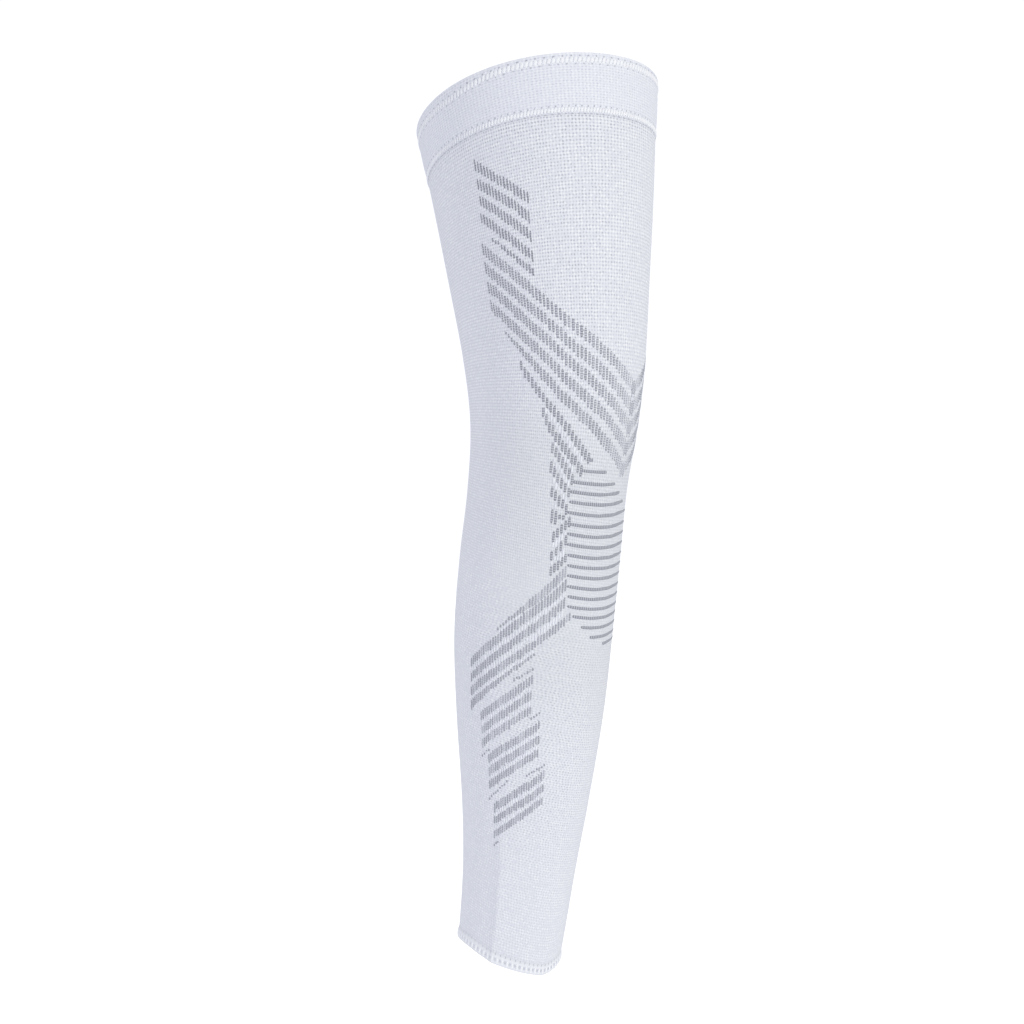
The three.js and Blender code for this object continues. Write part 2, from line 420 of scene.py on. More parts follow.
# Yarn strands laid on the sleeve: flattened tubes, closed at both ends, each with its own bake cell
def lay_strands(shape, angle, row, outward, half_width, half_height, tone, sides):
    laid = np.broadcast_arrays(angle, row, outward, half_width, half_height)
    angle, row, outward, half_width, half_height = laid
    path = sleeve_point(angle, row, outward)
    normal = sleeve_point(angle, row, outward + 1.0) - path
    strands, steps = path.shape[:2]
    along = np.gradient(path, axis=1)
    along /= np.linalg.norm(along, axis=-1, keepdims=True)
    across = np.cross(along, normal)
    across /= np.linalg.norm(across, axis=-1, keepdims=True)
    out = np.cross(across, along)
    turn = FULL_TURN * np.arange(sides) / sides
    wide = half_width[..., None, None] * np.cos(turn)[:, None]
    tall = half_height[..., None, None] * np.sin(turn)[:, None]
    rings = path[:, :, None, :] + (wide * across[:, :, None, :] + tall * out[:, :, None, :]) * MM
    index = shape.add_points(rings, np.broadcast_to(tone, strands)[:, None, None])
    side = np.arange(sides)
    step_at, side_at = np.meshgrid(np.arange(steps - 1), side, indexing="ij")
    face = [(0, 0), (0, 1), (1, 1), (1, 0)]
    corners = np.stack([index[:, step_at + dv, (side_at + du) % sides] for dv, du in face], -1)
    around = np.stack([side_at + du for _, du in face], -1) / sides
    up = np.stack([step_at + dv for dv, _ in face], -1) / (steps - 1)
    length = np.linalg.norm(np.diff(path, axis=1), axis=-1).sum(-1) / MM
    cells = math.ceil(math.sqrt(strands))
    number = np.arange(strands)
    cell = np.stack([number % cells, number // cells], -1)

    def add_faces(corners, around, up):
        shown = np.stack([around, up], -1).reshape(-1, 2)
        chart = shown * np.stack([np.ones(strands), length], -1)[:, None]
        inside = BAKE_MARGIN + (1 - 2 * BAKE_MARGIN) * shown
        shape.add_faces(corners.reshape(-1, corners.shape[-1]), chart, (cell[:, None] + inside) / cells)

    add_faces(corners, around, up)
    for at, order in ((0, side[::-1]), (steps - 1, side)):
        add_faces(index[:, at][:, order], order / sides, np.full(sides, at / (steps - 1)))


# Sheen and fibre of the yarns, and how rows wander
YARN_SHEEN = 0.05
FIBRE_SCALE = 1400.0
WANDER_ALONG = 0.1
WANDER_PER_ROW = 1.7


# Short names for building one material
class Look:
    def __init__(self, name, roughness, sheen=YARN_SHEEN):
        self.material = bpy.data.materials.new(name)
        self.material.use_nodes = True
        self.tree = self.material.node_tree
        self.shader = self.tree.nodes["Principled BSDF"]
        self.set("Roughness", roughness)
        self.set("Specular IOR Level", 0.25)
        self.set("Sheen Weight", sheen)
        self.set("Sheen Roughness", 0.6)

    # A value that is the same all over the surface
    def set(self, name, value):
        self.shader.inputs[name].default_value = value

    def add(self, kind):
        return self.tree.nodes.new("ShaderNode" + kind)

    def put(self, value, socket):
        if isinstance(value, bpy.types.NodeSocket):
            self.tree.links.new(value, socket)
        else:
            socket.default_value = value

    def math(self, operation, *values):
        node = self.add("Math")
        node.operation = operation
        for value, socket in zip(values, node.inputs):
            self.put(value, socket)
        return node.outputs[0]

    def times(self, *values):
        return self.math("MULTIPLY", *values)

    def ramp(self, value, low, high, to_low=0.0, to_high=1.0):
        node = self.add("MapRange")
        node.interpolation_type = "SMOOTHSTEP"
        for each, socket in zip((value, low, high, to_low, to_high), node.inputs):
            self.put(each, socket)
        return node.outputs[0]

    def chart(self):
        node = self.add("UVMap")
        node.uv_map = "chart"
        return self.split(node.outputs[0])[:2]

    def place(self):
        return self.add("TexCoord").outputs["Object"]

    def split(self, vector):
        node = self.add("SeparateXYZ")
        self.put(vector, node.inputs[0])
        return node.outputs

    def tone(self):
        node = self.add("Attribute")
        node.attribute_name = "tone"
        return node.outputs["Fac"]

    def noise(self, vector, scale, detail):
        node = self.add("TexNoise")
        for value, name in ((vector, "Vector"), (scale, "Scale"), (detail, "Detail")):
            self.put(value, node.inputs[name])
        return node.outputs["Fac"]

    # Fine fuzz of the yarn
    def fibre(self):
        return self.noise(self.place(), FIBRE_SCALE, detail=2.0)

    # One value for each stitch of the chart
    def stitch_random(self, u, v, shift):
        stitch = self.add("CombineXYZ")
        for value, socket in zip((u, v), stitch.inputs):
            self.put(self.math("FLOOR", self.math("ADD", value, shift)), socket)
        stitch.inputs[2].default_value = shift
        node = self.add("TexWhiteNoise")
        node.noise_dimensions = "3D"
        self.put(stitch.outputs[0], node.inputs["Vector"])
        return node.outputs["Value"]

    # How far a row of the chart is moved along: another amount for each row, changing slowly along it
    def row_wander(self, u, v):
        place = self.add("CombineXYZ")
        self.put(self.times(u, WANDER_ALONG), place.inputs[0])
        self.put(self.times(self.math("FLOOR", v), WANDER_PER_ROW), place.inputs[1])
        return self.math("SUBTRACT", self.noise(place.outputs[0], scale=1.0, detail=0.0), 0.5)

    # Round dots in the chart: 1 in the middle, 0 outside
    def dots(self, across, up, inner, outer):
        squares = [self.math("POWER", value, 2.0) for value in (across, up)]
        away = self.math("SQRT", self.math("ADD", *squares))
        return self.ramp(away, inner, outer, 1.0, 0.0)

    # Distance from the middle of the nearest cell of a repeat
    def repeat(self, value, period, shift=0.0):
        cell = self.math("DIVIDE", self.math("ADD", value, shift), period)
        return self.math("SUBTRACT", self.math("FRACT", cell), 0.5)

    def blend(self, amount, start, end):
        node = self.add("Mix")
        node.data_type = "RGBA"
        self.put(amount, node.inputs["Factor"])
        self.put(start, node.inputs[6])
        self.put(end, node.inputs[7])
        return node.outputs[2]

    def finish(self, colour, height, strength):
        bump = self.add("Bump")
        for value, name in ((strength, "Strength"), (0.0003, "Distance"), (height, "Height")):
            self.put(value, bump.inputs[name])
        self.put(bump.outputs[0], self.shader.inputs["Normal"])
        self.put(colour, self.shader.inputs["Base Color"])
        return self.material


# Colours
WHITE = (0.775, 0.797, 0.868, 1)
# Painted highlight on the crests of the stitches
CREST_HIGHLIGHT = (0.965, 0.98, 1.0, 1)
# Painted shade in the knit's pinholes, which are real holes
PINHOLE_SHADE = (0.48, 0.50, 0.57, 1)
# Painted shade on the front of the knee
KNEE_SHADE_GREY = (0.60, 0.62, 0.655, 1)
BAND_WHITE = (0.80, 0.823, 0.90, 1)
# Painted shade in the band's pinholes, which are real holes
BAND_PINHOLE_SHADE = (0.55, 0.57, 0.66, 1)
# Painted shade in the needle holes, between the seams' stitches and in a line under the edge seam
NEEDLE_HOLE_SHADE = (0.42, 0.44, 0.51, 1)
HEM_WHITE = (0.86, 0.88, 0.935, 1)
# Painted shade in the hem's needle holes and slits
HEM_SLIT_SHADE = (0.40, 0.42, 0.49, 1)
THREAD = (0.94, 0.957, 1.0, 1)
FLOAT = (0.90, 0.92, 0.985, 1)
DARK_GREY = (0.25, 0.262, 0.31, 1)
PALE_GREY = (0.72, 0.74, 0.81, 1)
FILL_GREY = (0.35, 0.365, 0.42, 1)
THIGH_GREY = (0.235, 0.247, 0.295, 1)

# Painted shade over the front of the knee: how much, and where that starts and ends, in metres
KNEE_SHADE_AMOUNT = 0.3
KNEE_FRONT = (-0.02, 0.03)
KNEE_LOW = (-0.17, -0.06)
KNEE_HIGH = (0.06, 0.14)

# Inner and outer radius of dots: in stitches, or for needle holes in millimetres
PIT_DOT = (0.06, 0.42)
CREST_DOT = (0.05, 0.5)
NEEDLE_DOT = (0.3, 0.95)
HALF_STITCH = 0.5
LEAST_PIT = 0.45
PIT_SPREAD = 1.1
FIBRE_HEIGHT = 0.5

# Seams round the rim and round the band's edge. Rows count up from that edge. Round the back of the thigh
# the rim's seam runs lower, and the stitches are narrower. The band is shaded between them.
RIM_HOLES = 92
EDGE_HOLES = 116
RIM_DROP = 3.5
BACK_FROM = math.radians(76)
BACK_FULL = math.radians(112)
BACK_NARROWER = 0.2
SEAM_SHADE = 0.3
SHADE_FADES = 0.6
SEAMS = [
    # name, needle holes round it, highest row, lowest row, drop round the back, outward, half width
    ("rim_zigzag", RIM_HOLES, BAND_HEIGHT - 3.1, BAND_HEIGHT - 7.0, RIM_DROP, LAP_OUTSIDE - 0.2, 1.5),
    ("band_zigzag", EDGE_HOLES, 4.7, 1.3, 0.0, BAND_EDGE_OUTWARD, 1.2),
]
# Needle holes are real, and are darkened with painted shade
NEEDLE_ROWS = [
    # row, holes round it, part of a step they are turned by, how dark they are, drop round the back
    (BAND_HEIGHT - 2.5, RIM_HOLES, 0.0, 0.9, RIM_DROP),
    (BAND_HEIGHT - 7.6, RIM_HOLES, 0.5, 0.7, RIM_DROP),
    (5.5, EDGE_HOLES, 0.0, 0.85, 0.0),
    (0.2, EDGE_HOLES, 0.5, 0.8, 0.0),
    # Holes set so close that they make a painted shadow line under the edge seam
    (0.2, 3 * EDGE_HOLES, 0.0, 0.42, 0.0),
]
BAND_COURSE_HEIGHT = (BAND_HEIGHT - CAP) / BAND_COURSES
BAND_WALE_WIDTH = 2.7


# Knit seen close: a real pinhole in the middle of each stitch, darkened with painted shade, and painted
# highlights on the crests at its corners
def knit_colour(look, u, v, plain, pinhole_shade, crest_shine):
    pits = look.dots(look.repeat(u, 1.0), look.repeat(v, 1.0), *PIT_DOT)
    crest_highlights = look.dots(look.repeat(u, 1.0, HALF_STITCH), look.repeat(v, 1.0, HALF_STITCH), *CREST_DOT)
    # Random for each stitch: how dark the painted shade in its pinhole is, and how bright the painted
    # highlight on its crest
    depth = look.math("MULTIPLY_ADD", look.stitch_random(u, v, 0.0), PIT_SPREAD, LEAST_PIT)
    shine = look.times(look.stitch_random(u, v, HALF_STITCH), crest_shine)
    amount = look.times(look.times(pits, look.tone()), depth)
    ground_with_highlights = look.blend(look.times(crest_highlights, shine), plain, CREST_HIGHLIGHT)
    height = look.math("SUBTRACT", look.times(look.fibre(), FIBRE_HEIGHT), pits)
    return look.blend(amount, ground_with_highlights, pinhole_shade), height


def knit_material():
    look = Look("knit_white", roughness=0.9)
    u, v = look.chart()
    finer = look.ramp(v, SPLIT_COURSE, SPLIT_COURSE + 1.0, CALF_WALES / CALF_FACETS, 1.0)
    wander = look.ramp(v, SPLIT_COURSE, SPLIT_COURSE + 1.0, CALF_WANDER, 0.0)
    along = look.math("MULTIPLY_ADD", look.row_wander(u, v), wander, look.times(u, finer))
    colour, height = knit_colour(look, along, v, WHITE, PINHOLE_SHADE, crest_shine=1.0)
    _, y, z = look.split(look.place())
    front = look.ramp(y, *KNEE_FRONT, KNEE_SHADE_AMOUNT, 0.0)
    over_calf = look.ramp(z, *KNEE_LOW)
    under_thigh = look.ramp(z, *KNEE_HIGH, 1.0, 0.0)
    # Painted shade on the front of the knee, fading out towards the calf and the thigh
    painted_knee_shade = look.times(front, look.times(over_calf, under_thigh))
    return look.finish(look.blend(painted_knee_shade, colour, KNEE_SHADE_GREY), height, strength=0.12)


def band_material():
    look = Look("band_white", roughness=0.9)
    u, v = look.chart()
    colour, height = knit_colour(look, u, v, BAND_WHITE, BAND_PINHOLE_SHADE, crest_shine=0.7)
    from_front = look.math("ABSOLUTE", look.repeat(u, BAND_WALES, BAND_WALES / 2))
    backness = look.ramp(from_front, BACK_FROM / FULL_TURN, BACK_FULL / FULL_TURN)

    def above_row(row, drop):
        height = look.math("MULTIPLY_ADD", v, BAND_COURSE_HEIGHT, -row)
        return look.math("MULTIPLY_ADD", backness, drop, height)

    # Painted shade on the band between the stitches of each seam
    for _, _, high, low, drop, _, _ in SEAMS:
        off_seam = look.math("ABSOLUTE", above_row((high + low) / 2, drop))
        half = (high - low) / 2
        shade = look.ramp(off_seam, SHADE_FADES * half, half, SEAM_SHADE, 0.0)
        colour = look.blend(shade, colour, NEEDLE_HOLE_SHADE)
    # Needle holes darkened with painted shade
    for row, holes, turned, darkness, drop in NEEDLE_ROWS:
        period = BAND_WALES / holes
        across = look.times(look.repeat(u, period, turned * period), period * BAND_WALE_WIDTH)
        needle_hole_shade = look.dots(across, above_row(row, drop), *NEEDLE_DOT)
        colour = look.blend(look.times(needle_hole_shade, darkness), colour, NEEDLE_HOLE_SHADE)
    return look.finish(colour, height, strength=0.1)


def hem_material():
    look = Look("hem_white", roughness=0.9)
    return look.finish(look.blend(look.tone(), HEM_SLIT_SHADE, HEM_WHITE), look.fibre(), strength=0.25)


# White thread of two plies: twist is in turns for each millimetre
THREAD_TWIST = 1.6
PLY = 0.5


def thread_material(name, light):
    look = Look(name, roughness=0.8)
    u, v = look.chart()
    twist = look.math("ADD", u, look.times(v, THREAD_TWIST))
    ply = look.math("ABSOLUTE", look.repeat(twist, PLY))
    return look.finish(look.blend(look.tone(), WHITE, light), ply, strength=0.2)


# Grey yarn: paler along the middle of a dash, by the ladder amount, and between its stitches, by the rungs'.
# A place round a strand is in turns, a rung in millimetres and a gap in rungs.
TOP_OF_STRAND = 0.25
LADDER_EDGE = (0.01, 0.06)
RUNG = 1.75
RUNG_GAP = (0.2, 0.45)


def stripe_material(name, dark, ladder, rungs):
    look = Look(name, roughness=0.85)
    u, v = look.chart()
    from_top = look.math("ABSOLUTE", look.math("SUBTRACT", u, TOP_OF_STRAND))
    middle = look.ramp(from_top, *LADDER_EDGE, ladder, 0.0)
    between = look.ramp(look.math("ABSOLUTE", look.repeat(v, RUNG)), *RUNG_GAP, 0.0, rungs)
    lighter = look.math("ADD", look.tone(), look.math("MAXIMUM", middle, between))
    return look.finish(look.blend(lighter, dark, PALE_GREY), look.fibre(), strength=0.3)


KNIT = knit_material()
BAND = band_material()
HEM = hem_material()
THREAD_LOOK = thread_material("thread_white", THREAD)
FLOAT_LOOK = thread_material("float_white", FLOAT)
DASH_LOOK = stripe_material("dash_grey", DARK_GREY, ladder=0.3, rungs=0.8)
THIGH_LOOK = stripe_material("thigh_grey", THIGH_GREY, ladder=0.2, rungs=0.5)
FILL_LOOK = stripe_material("fill_grey", FILL_GREY, ladder=0.2, rungs=0.4)
BAR_LOOK = stripe_material("bar_grey", DARK_GREY, ladder=0.0, rungs=0.6)


# The knitted tube, tucked in under the band and the hem, with a smooth inside
INSIDE_TONE = 0.3
TUCK_STEP = 0.6
TUCK_COURSES = 0.3
COURSES_UNDER_BAND = 17
COURSES_UNDER_HEM = 3


def make_body():
    shape = Shape()
    rows, split = KNIT_ROWS, SPLIT_COURSE
    courses = len(rows) - 1
    calf_belt = (0.0, 0.46)
    thigh_belt = (0.47, 0.94)
    lap_belt = (0.945, 0.95)
    inner_belt = (0.955, 1.0)
    calf = (CALF_FACETS, knit_angle, 0.0, CALF_PIT_DEPTH, 0.0, openness_and_pit_shade)
    thigh = (THIGH_WALES, knit_angle, 0.0, THIGH_PIT_DEPTH, THIGH_STAGGER, openness_and_pit_shade)
    bottom, calf_top = knit_layer(shape, rows[: split + 1], *calf, 0, calf_belt)
    thigh_low, top = knit_layer(shape, rows[split + 1 :], *thigh, split + 1, thigh_belt)
    bridge(shape, calf_top, thigh_low, split, split + 1, lap_belt, THIGH_WALES)
    first, last = -COURSES_UNDER_HEM, courses + COURSES_UNDER_BAND
    tuck_low = ring(shape, CALF_FACETS, knit_angle, HEM_EDGE - TUCK_STEP, TUCKED)
    tuck_end = ring(shape, CALF_FACETS, knit_angle, BODY_BOTTOM, TUCKED)
    bridge(shape, tuck_low, bottom, -TUCK_COURSES, 0, lap_belt, CALF_FACETS)
    bridge(shape, tuck_end, tuck_low, first, -TUCK_COURSES, lap_belt, CALF_FACETS)
    tuck_high = ring(shape, THIGH_WALES, knit_angle, BAND_EDGE + TUCK_STEP, TUCKED)
    tuck_top = ring(shape, THIGH_WALES, knit_angle, BODY_TOP, TUCKED)
    bridge(shape, top, tuck_high, courses, courses + TUCK_COURSES, lap_belt, THIGH_WALES)
    bridge(shape, tuck_high, tuck_top, courses + TUCK_COURSES, last, lap_belt, THIGH_WALES)
    inside_rows = np.linspace(BODY_TOP, BODY_BOTTOM, INSIDE_ROWS + 1)
    inside_course = np.linspace(last, first, INSIDE_ROWS + 1)
    rings = [ring(shape, INSIDE_FACETS, knit_angle, row, -WALL, INSIDE_TONE) for row in inside_rows]
    bridge(shape, tuck_top, rings[0], last, last, lap_belt, THIGH_WALES)
    for upper, lower, above, below in zip(rings, rings[1:], inside_course, inside_course[1:]):
        bridge(shape, upper, lower, above, below, inner_belt, THIGH_WALES)
    bridge(shape, rings[-1], tuck_end, first, first, lap_belt, CALF_FACETS)
    piece = shape.make("knit_tube", KNIT, "knit_white")
    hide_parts("sleeve_body")
    return piece


# The thigh band: knitted outside, folded over the sleeve's top edge, thinner at its lower edge
BAND_TAPER_HEIGHT = 16.0
RIM_DEGREES = (30, 60, 90, 120, 150, 180)


def make_band():
    shape = Shape()
    rows = np.linspace(BAND_EDGE, TOP_RIM - CAP, BAND_COURSES + 1)
    thicker = smoothstep(BAND_EDGE, BAND_EDGE + BAND_TAPER_HEIGHT, rows)
    outward = BAND_EDGE_OUTWARD + (LAP_OUTSIDE - BAND_EDGE_OUTWARD) * thicker
    knit = (BAND_WALES, even_angle, outward, BAND_PIT_DEPTH, BAND_STAGGER, band_openness_and_pit_shade)
    knit_belt = (0.0, 0.8)
    rim_belt = (0.82, 0.9)
    back_belt = (0.92, 1.0)
    bottom, top = knit_layer(shape, rows, *knit, 0, knit_belt)
    middle = (LAP_OUTSIDE - WALL) / 2
    half = (LAP_OUTSIDE + WALL) / 2
    below = top
    for degrees in RIM_DEGREES:
        turn = math.radians(degrees)
        outward = middle + half * math.cos(turn)
        above = ring(shape, BAND_WALES, even_angle, TOP_RIM - CAP + CAP * math.sin(turn), outward)
        bridge(shape, below, above, BAND_COURSES, BAND_COURSES, rim_belt, BAND_WALES)
        below = above
    for row in (TOP_RIM - CAP, (TOP_RIM + BAND_EDGE) / 2, BAND_EDGE):
        above = ring(shape, BAND_WALES, even_angle, row, LAP_INSIDE)
        bridge(shape, below, above, BAND_COURSES, BAND_COURSES, back_belt, BAND_WALES)
        below = above
    bridge(shape, below, bottom, 0, 0, back_belt, BAND_WALES)
    piece = shape.make("thigh_band", BAND, "band_white")
    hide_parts("top_band")
    return piece


# The ankle hem: needle holes along its top, a ridge, a row of slits and a rolled edge
HEM_PERIODS = 68
HEM_FACETS_EACH = 8
HOLES_ABOVE = 6.5
HEM_BAKE_SHARE = 0.9
SLIT_DEPTH = 0.35
# The painted shade in the holes and slits is fainter round the heel
HEEL_FAINTER = 0.6
FAINTER_FROM = math.radians(76)
FAINTER_TO = math.radians(100)
# Tones below 1 are painted shade in the needle holes and slits; away from its ridge the hem is also a little
# darker, most along its top edge
HEM_PROFILE = [
    # row above the rim, outward, tone between the slits, tone in the slits
    (9.0, -0.3, 0.78, 0.78),
    (8.9, 0.0, 0.78, 0.78),
    (8.3, 0.1, 0.8, 0.35),
    (7.6, 0.15, 0.83, 0.0),
    (7.0, 0.3, 0.92, 0.35),
    (6.2, 0.7, 1.0, 1.0),
    (5.4, 0.75, 1.0, 1.0),
    (4.8, 0.5, 1.0, 0.75),
    (4.0, 0.4, 0.97, 0.52),
    (3.0, 0.4, 0.97, 0.52),
    (2.4, 0.6, 0.97, 0.78),
    (1.8, 0.85, 0.97, 0.93),
    (1.25, 0.95, 0.93, 0.93),
    (0.6, 0.85, 0.93, 0.93),
    (0.15, 0.5, 0.93, 0.93),
    (0.0, 0.0, 0.93, 0.93),
    (0.37, -0.83, 0.93, 0.93),
    (1.25, -1.2, 0.93, 0.93),
    (2.5, -1.5, 0.93, 0.93),
    (2.6, -0.2, 0.93, 0.93),
    (6.0, -0.2, 0.93, 0.93),
]


def make_hem():
    shape = Shape()
    facets = HEM_PERIODS * HEM_FACETS_EACH
    number = np.arange(facets)
    from_slit = np.minimum(number % HEM_FACETS_EACH, -number % HEM_FACETS_EACH)
    angle = FULL_TURN * number / facets
    shown = 1 - HEEL_FAINTER * smoothstep(FAINTER_FROM, FAINTER_TO, from_shin(angle))
    rings = []
    for above_rim, outward, plain, slit in HEM_PROFILE:
        in_slit = from_slit <= (above_rim < HOLES_ABOVE)
        # Painted shade in the holes and slits, fainter round the heel
        tone = plain + (slit - plain) * in_slit * shown
        dip = SLIT_DEPTH * (1 - slit) * in_slit
        points = sleeve_point(angle, BOTTOM_RIM + above_rim, outward - dip)
        rings.append(shape.add_points(points, tone))
    for number, (high, low) in enumerate(zip(rings, rings[1:] + rings[:1])):
        belt = (number / len(rings), (number + HEM_BAKE_SHARE) / len(rings))
        bridge(shape, low, high, number, number + 1, belt, facets)
    piece = shape.make("ankle_hem", HEM, "hem_white")
    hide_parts("bottom_hem")
    return piece


# Threads of the seams, in millimetres, thinner at their ends
ALONG = np.linspace(0, 1, 7)
THREAD_SIDES = 8
THREAD_ENDS = 0.6
SWELL = THREAD_ENDS + (1 - THREAD_ENDS) * np.sin(math.pi * ALONG)
STITCH_SLANT = 0.5
STITCH_LIFT = 0.1
STITCH_HALF_HEIGHT = 0.6
DULLEST_STITCH = 0.75
HEM_BAR_TOP = 5.6
HEM_BAR_LENGTH = 5.2
HEM_BAR_OUTWARD = 0.45
HEM_BAR_BULGE = 0.2
HEM_BAR_HALF_WIDTH = 0.95
HEM_BAR_HALF_HEIGHT = 0.55


# Stitches of a seam, two to each needle hole, from its upper row of holes to its lower one
def seam_stitches(name, holes, high_row, low_row, drop, outward, half_width):
    shape = Shape()
    stitches = 2 * holes
    number = np.arange(stitches)[:, None]
    angle = FULL_TURN * (number + STITCH_SLANT * (ALONG - 0.5)) / stitches
    backness = smoothstep(BACK_FROM, BACK_FULL, from_shin(angle))
    row = BAND_EDGE + high_row + (low_row - high_row) * ALONG - drop * backness
    wide = half_width * (1 - BACK_NARROWER * backness) * SWELL
    tone = DULLEST_STITCH + (1 - DULLEST_STITCH) * rng.random(stitches)
    lifted = outward + STITCH_LIFT * SWELL
    lay_strands(shape, angle, row, lifted, wide, STITCH_HALF_HEIGHT * SWELL, tone, THREAD_SIDES)
    return shape.make(name, THREAD_LOOK, "band_white")


# Thread bars round the ankle's rolled edge
def hem_bars():
    shape = Shape()
    number = np.arange(HEM_PERIODS)[:, None]
    angle = FULL_TURN * (number + 0.5) / HEM_PERIODS
    row = BOTTOM_RIM + HEM_BAR_TOP - HEM_BAR_LENGTH * ALONG
    outward = HEM_BAR_OUTWARD + HEM_BAR_BULGE * np.sin(math.pi * ALONG)
    wide = HEM_BAR_HALF_WIDTH * SWELL
    tall = HEM_BAR_HALF_HEIGHT * SWELL
    lay_strands(shape, angle, row, outward, wide, tall, 1.0, THREAD_SIDES)
    return shape.make("hem_thread", THREAD_LOOK, "hem_white")


# The stripe chart: stitch columns round the leg and rows up from the hem, counted on their own grid.
# The pattern is the same on both sides of the front column.
WALES = 192
FIRST_COURSE = 1.96
COURSE_GROWTH = 0.003372
FRONT_WALE = 2.5


def course_row(course):
    return HEM_EDGE + FIRST_COURSE * course + COURSE_GROWTH * course**2 / 2


def wale_angle(wale):
    return FULL_TURN * wale / WALES


# A stripe's edges at any column: its wales, top courses and heights, from one end to the other
class Stripe:
    def __init__(self, wales, tops, heights):
        order = np.argsort(wales)
        self.wales = np.asarray(wales, float)[order]
        self.tops = np.asarray(tops, float)[order]
        self.heights = np.broadcast_to(np.asarray(heights, float), order.shape)[order]

    def top(self, wale):
        return np.interp(wale, self.wales, self.tops)

    def height(self, wale):
        return np.interp(wale, self.wales, self.heights)


# Upright strokes of yarn, each knitted into one stitch column. A short one is a dot, and darker.
DASH_SIDES = 6
DASH_LIFT = 0.02
DASH_HALF_HEIGHT = 0.22
DASH_JITTER = 0.15
DASH_SWAY = 0.04
SWAYS_IN_DASH = 1.5
DASH_END_CUT = 0.6
DASH_END_SHARPNESS = 8
DOT_HEIGHT = 1.4
DOT_DARKER = 0.2

# White floats fill part of a gap: the least gap, least part, spread of the part, and dullest tone
LEAST_GAP = 0.3
LEAST_PART = 0.6
PART_SPREAD = 0.8
DULLEST_FLOAT = 0.4


# How wide a strand is along its length, where its ends are rounded off
def rounded_ends(t, cut, sharpness):
    return np.sqrt(1 - cut * np.abs(2 * t - 1) ** sharpness)


class Dashes:
    def __init__(self):
        self.rows = []

    def add(self, wale, top, low, half_width, tone):
        self.rows.append(np.stack(np.broadcast_arrays(wale, top, low, half_width, tone), -1).reshape(-1, 5))

    # A stripe from one end to the other, with a dash at every pitch of its style
    def stripe(self, stripe, style, unevenness):
        places, pitches, half_widths, tones = zip(*style)
        at = spaced(*stripe.wales[[0, -1]], places, pitches)
        height = stripe.height(at)
        top = stripe.top(at) + rng.normal(0, DASH_JITTER, len(at))
        low = top - height + rng.normal(0, DASH_JITTER, len(at))
        tone = np.interp(at, places, tones) - DOT_DARKER * (height < DOT_HEIGHT)
        tone = tone + rng.normal(0, unevenness, len(at))
        self.add(at, top, low, np.interp(at, places, half_widths), tone)

    # Dashes in the gap between two stripes, over part of its height
    def between(self, upper, lower, pitch, half_width, share):
        first = max(upper.wales[0], lower.wales[0])
        last = min(upper.wales[-1], lower.wales[-1])
        at = np.arange(first + pitch / 2, last, pitch)
        gap_top = upper.top(at) - upper.height(at)
        gap = np.maximum(gap_top - lower.top(at), LEAST_GAP)
        top = gap_top - gap * (1 - share) / 2 + rng.normal(0, DASH_JITTER, len(at))
        part = share * (LEAST_PART + PART_SPREAD * rng.random(len(at)))
        tone = DULLEST_FLOAT + (1 - DULLEST_FLOAT) * rng.random(len(at))
        self.add(at, top, top - gap * part, half_width, tone)

    def make(self, name, look, lift=DASH_LIFT, half_height=DASH_HALF_HEIGHT):
        rows = np.concatenate(self.rows)
        mirrored = rows * np.array([-1, 1, 1, 1, 1]) + np.array([2 * FRONT_WALE, 0, 0, 0, 0])
        rows = np.concatenate([rows, mirrored])
        wale, top, low, half_width, tone = rows.T
        course = low[:, None] + (top - low)[:, None] * ALONG
        sway = DASH_SWAY * np.sin(FULL_TURN * (ALONG * SWAYS_IN_DASH + rng.random(len(rows))[:, None]))
        ends = rounded_ends(ALONG, DASH_END_CUT, DASH_END_SHARPNESS)
        shape = Shape()
        angle = wale_angle(wale[:, None] + sway)
        wide = half_width[:, None] * ends
        tone = np.clip(tone, 0, 1)
        lay_strands(shape, angle, course_row(course), lift, wide, half_height * ends, tone, DASH_SIDES)
        return shape.make(name, look, "knit_white")


# Stripes on the side of the thigh: outer wale, top course, height; inner wale, top course, height
THIGH_STRIPES = [
    (53, 245.6, 2.7, 39.4, 234.3, 2.8),
    (53, 241.3, 2.7, 39.6, 230.1, 2.8),
    (53, 236.9, 2.7, 39.6, 225.3, 2.8),
    (53.5, 232.6, 2.7, 39.6, 220.3, 2.8),
    (50.8, 225.4, 0.9, 39.8, 216, 2.3),
]

# Chevrons over the knee: top edge of the highest one as wale and course, and how far down each one is
CHEVRON = [
    (54.5, 224.8), (46, 217), (40, 211.6), (34, 206.4), (28, 201.9),
    (22, 198.5), (16, 195), (10, 191.6), (4, 188.7), (1.5, 187.6),
]
CHEVRON_DROPS = [0.0, 5.1, 10.1, 15.3]
LAST_CHEVRON_DROP = 20.8
LAST_CHEVRON_START = 50.5
CHEVRON_HEIGHT = 3.3
TIP_DROP = 2.2
TIP_HEIGHT = 0.9

